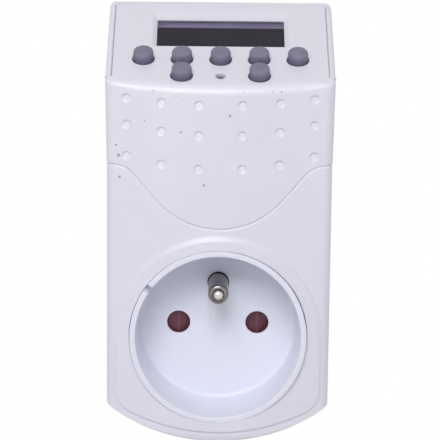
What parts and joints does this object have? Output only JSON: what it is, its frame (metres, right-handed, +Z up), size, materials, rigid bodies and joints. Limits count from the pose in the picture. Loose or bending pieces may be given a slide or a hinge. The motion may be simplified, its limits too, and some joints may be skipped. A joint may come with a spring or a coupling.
{
  "type": "plug in timer switch",
  "caption": "Plug-in digital timer switch: earthed socket in front, earthed plug behind, sloping panel with display and press buttons.",
  "frame": {"origin": "centre of the plug's end face, on the axis that the rear plug and the front socket share", "axes": "+Y out of the plug's end face towards the wall, +Z up towards the control panel, +X to the right seen from the front"},
  "size_m": [0.053, 0.076, 0.1016],
  "materials": {
    "white_housing_plastic": "satin moulded",
    "cool_white_insert_plastic": "semi-gloss moulded",
    "dark_carrier_plastic": "matt moulded",
    "zinc_plated_steel": "zinc plated",
    "maroon_shutter_plastic": "matt moulded",
    "spring_steel": "bright drawn wire",
    "contact_brass": "stamped",
    "nickel_plated_brass": "nickel plated, turned",
    "smoked_window": "clear polished",
    "lcd_glass": "polarised glass",
    "light_frame_plastic": "moulded",
    "black_elastomer": "conductive layers",
    "green_board": "solder mask",
    "grey_button_rubber": "silk matt",
    "black_resin": "moulded resin",
    "bright_can_steel": "bright",
    "tinned_strip": "tinned",
    "grey_ribbon": "smooth",
    "blue_case_plastic": "moulded",
    "copper_winding": "enamelled wire",
    "yellow_case_plastic": "moulded",
    "blue_sleeve": "shrink sleeve",
    "clear_fuse_glass": "clear with plated caps",
    "painted_ceramic": "painted",
    "brown_wire_jacket": "smooth",
    "blue_wire_jacket": "smooth",
    "black_wire_jacket": "smooth"
  },
  "bodies": {
    "housing": {"rear_housing": "white_housing_plastic", "upper_cover": "white_housing_plastic", "lower_cover": "white_housing_plastic", "socket_insert": "cool_white_insert_plastic", "contact_carrier": "dark_carrier_plastic", "pin_clamp": "dark_carrier_plastic", "housing_screws": "zinc_plated_steel", "clamp_screws": "zinc_plated_steel", "main_pcb_screws": "zinc_plated_steel", "display_pcb_screws": "zinc_plated_steel", "shutter_spring": "spring_steel", "line_contact": "contact_brass", "neutral_contact": "contact_brass", "earth_bar": "contact_brass", "earth_socket": "contact_brass", "relay_contact": "contact_brass", "earth_pin": "nickel_plated_brass", "line_pin": "nickel_plated_brass", "neutral_pin": "nickel_plated_brass", "earth_clip": "nickel_plated_brass", "display_window": "smoked_window", "lcd_glass": "lcd_glass", "lcd_frame": "light_frame_plastic", "ribbon_headers": "light_frame_plastic", "zebra_strips": "black_elastomer", "display_pcb": "green_board", "main_pcb": "green_board", "keypad_mat": "grey_button_rubber", "controller_chip": "black_resin", "relay_base": "black_resin", "rectifier_diodes": "black_resin", "relay_transistor": "black_resin", "quartz_crystal": "bright_can_steel", "backup_battery": "bright_can_steel", "relay_yoke": "bright_can_steel", "battery_tabs": "tinned_strip", "fuse_clips": "tinned_strip", "ribbon_cable": "grey_ribbon", "relay_case": "blue_case_plastic", "varistor": "blue_case_plastic", "relay_coil": "copper_winding", "film_capacitor": "yellow_case_plastic", "electrolytic_capacitor": "blue_sleeve", "fuse": "clear_fuse_glass", "series_resistor": "painted_ceramic", "line_wire": "brown_wire_jacket", "neutral_wire": "blue_wire_jacket", "neutral_link_wire": "blue_wire_jacket", "switched_wire": "black_wire_jacket"},
    "button_upper_1": {"button_upper_1": "grey_button_rubber"},
    "button_upper_2": {"button_upper_2": "grey_button_rubber"},
    "button_upper_3": {"button_upper_3": "grey_button_rubber"},
    "button_upper_4": {"button_upper_4": "grey_button_rubber"},
    "button_upper_5": {"button_upper_5": "grey_button_rubber"},
    "button_lower_1": {"button_lower_1": "grey_button_rubber"},
    "button_lower_2": {"button_lower_2": "grey_button_rubber"},
    "reset_plunger": {"reset_plunger": "grey_button_rubber"},
    "shutter": {"shutter": "maroon_shutter_plastic"},
    "relay_armature": {"relay_armature": "bright_can_steel"}
  },
  "joints": [
    {"name": "button_upper_1_press", "type": "slide", "parent": "housing", "child": "button_upper_1", "axis": [0, 0.4226, -0.9063], "range_m": [0, 0.0008], "stiffness_N_per_m": 250, "springref_m": -0.0006},
    {"name": "button_upper_2_press", "type": "slide", "parent": "housing", "child": "button_upper_2", "axis": [0, 0.4226, -0.9063], "range_m": [0, 0.0008], "stiffness_N_per_m": 250, "springref_m": -0.0006},
    {"name": "button_upper_3_press", "type": "slide", "parent": "housing", "child": "button_upper_3", "axis": [0, 0.4226, -0.9063], "range_m": [0, 0.0008], "stiffness_N_per_m": 250, "springref_m": -0.0006},
    {"name": "button_upper_4_press", "type": "slide", "parent": "housing", "child": "button_upper_4", "axis": [0, 0.4226, -0.9063], "range_m": [0, 0.0008], "stiffness_N_per_m": 250, "springref_m": -0.0006},
    {"name": "button_upper_5_press", "type": "slide", "parent": "housing", "child": "button_upper_5", "axis": [0, 0.4226, -0.9063], "range_m": [0, 0.0008], "stiffness_N_per_m": 250, "springref_m": -0.0006},
    {"name": "button_lower_1_press", "type": "slide", "parent": "housing", "child": "button_lower_1", "axis": [0, 0.4226, -0.9063], "range_m": [0, 0.0008], "stiffness_N_per_m": 250, "springref_m": -0.0006},
    {"name": "button_lower_2_press", "type": "slide", "parent": "housing", "child": "button_lower_2", "axis": [0, 0.4226, -0.9063], "range_m": [0, 0.0008], "stiffness_N_per_m": 250, "springref_m": -0.0006},
    {"name": "reset_press", "type": "slide", "parent": "housing", "child": "reset_plunger", "axis": [0, 0.4226, -0.9063], "range_m": [0, 0.0005], "stiffness_N_per_m": 200, "springref_m": -0.0005},
    {"name": "shutter_slide", "type": "slide", "parent": "housing", "child": "shutter", "axis": [-1, 0, 0], "range_m": [0, 0.0058], "stiffness_N_per_m": 60, "springref_m": -0.003, "deforming": ["shutter_spring"]},
    {"name": "relay_armature_hinge", "type": "hinge", "parent": "housing", "child": "relay_armature", "pos_m": [-0.006, -0.03665, 0.0302], "axis": [-1, 0, 0], "range_deg": [0, 2.4], "stiffness_Nm_per_rad": 0.01, "springref_deg": -5.73}
  ]
}
